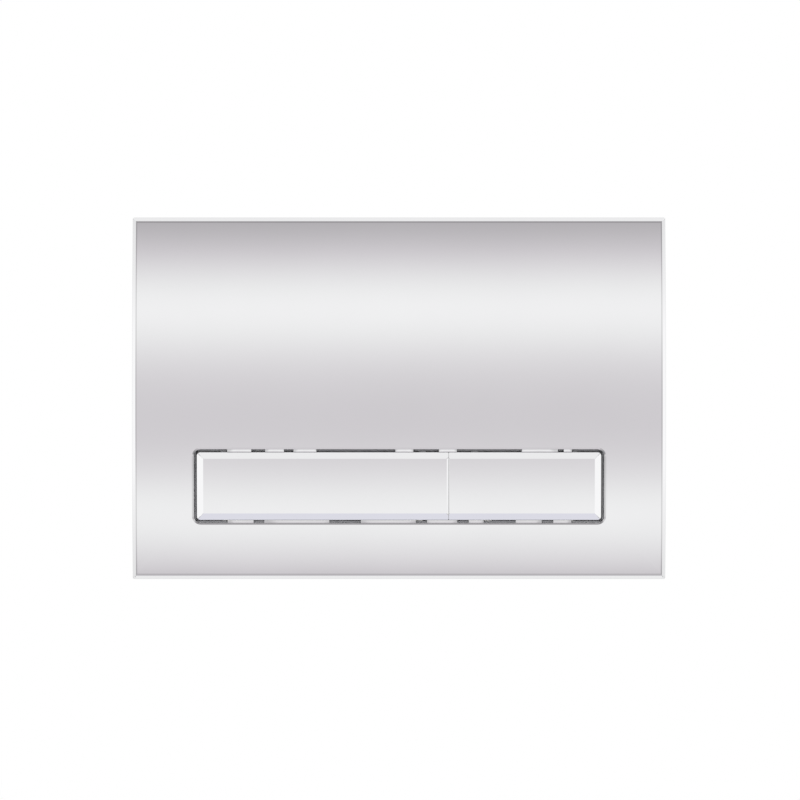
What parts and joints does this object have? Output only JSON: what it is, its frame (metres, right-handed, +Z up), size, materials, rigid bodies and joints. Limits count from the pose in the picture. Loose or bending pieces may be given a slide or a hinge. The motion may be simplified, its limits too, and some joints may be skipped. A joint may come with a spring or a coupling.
{
  "type": "flush button plate",
  "caption": "Bowed rectangular chrome flush plate for a concealed cistern, with a full and a half flush rocker button in one window, push rods, a wall frame and fixing studs.",
  "frame": {"origin": "middle of the plate on the finished wall", "axes": "+X to the viewer's right along the plate, +Y into the wall, +Z up"},
  "size_m": [0.246, 0.076, 0.167],
  "materials": {
    "chrome": "polished chrome on ABS",
    "carrier_plastic": "mid grey ABS",
    "rocker_plastic": "white acetal",
    "frame_plastic": "white ABS",
    "rod_plastic": "grey acetal",
    "nut_plastic": "mid grey acetal",
    "zinc_steel": "zinc-plated steel",
    "spring_steel": "spring steel",
    "rubber": "soft rubber"
  },
  "bodies": {
    "plate": {"face_plate": "chrome", "button_carrier": "carrier_plastic", "carrier_screws": "zinc_steel", "rest_bumpers": "rubber", "mounting_frame": "frame_plastic", "retaining_clips": "spring_steel", "fixing_studs": "zinc_steel", "fixing_washers": "zinc_steel", "fixing_nuts": "nut_plastic", "full_flush_hinge_pin": "zinc_steel", "half_flush_hinge_pin": "zinc_steel", "full_flush_return_spring": "spring_steel", "half_flush_return_spring": "spring_steel"},
    "full_flush_button": {"full_flush_cap": "chrome", "full_flush_rocker": "rocker_plastic"},
    "full_flush_rod": {"full_flush_push_rod": "rod_plastic", "full_flush_rod_nut": "nut_plastic"},
    "half_flush_button": {"half_flush_cap": "chrome", "half_flush_rocker": "rocker_plastic"},
    "half_flush_rod": {"half_flush_push_rod": "rod_plastic", "half_flush_rod_nut": "nut_plastic"}
  },
  "joints": [
    {"name": "full_flush_press", "type": "hinge", "parent": "plate", "child": "full_flush_button", "pos_m": [0, -0.00849, -0.0301], "axis": [1, 0, 0], "range_deg": [0, 12], "stiffness_Nm_per_rad": 0.2, "springref_deg": -17.19},
    {"name": "full_flush_rod_slide", "type": "slide", "parent": "plate", "child": "full_flush_rod", "axis": [0, 1, 0], "range_m": [0, 0.00435], "deforming": ["full_flush_return_spring"]},
    {"name": "half_flush_press", "type": "hinge", "parent": "plate", "child": "half_flush_button", "pos_m": [0, -0.00849, -0.0301], "axis": [1, 0, 0], "range_deg": [0, 12], "stiffness_Nm_per_rad": 0.2, "springref_deg": -17.19},
    {"name": "half_flush_rod_slide", "type": "slide", "parent": "plate", "child": "half_flush_rod", "axis": [0, 1, 0], "range_m": [0, 0.00435], "deforming": ["half_flush_return_spring"]}
  ],
  "couplings": [
    {"joint": "full_flush_rod_slide", "follows": "full_flush_press", "m_per_rad": 0.0198},
    {"joint": "half_flush_rod_slide", "follows": "half_flush_press", "m_per_rad": 0.0198}
  ]
}
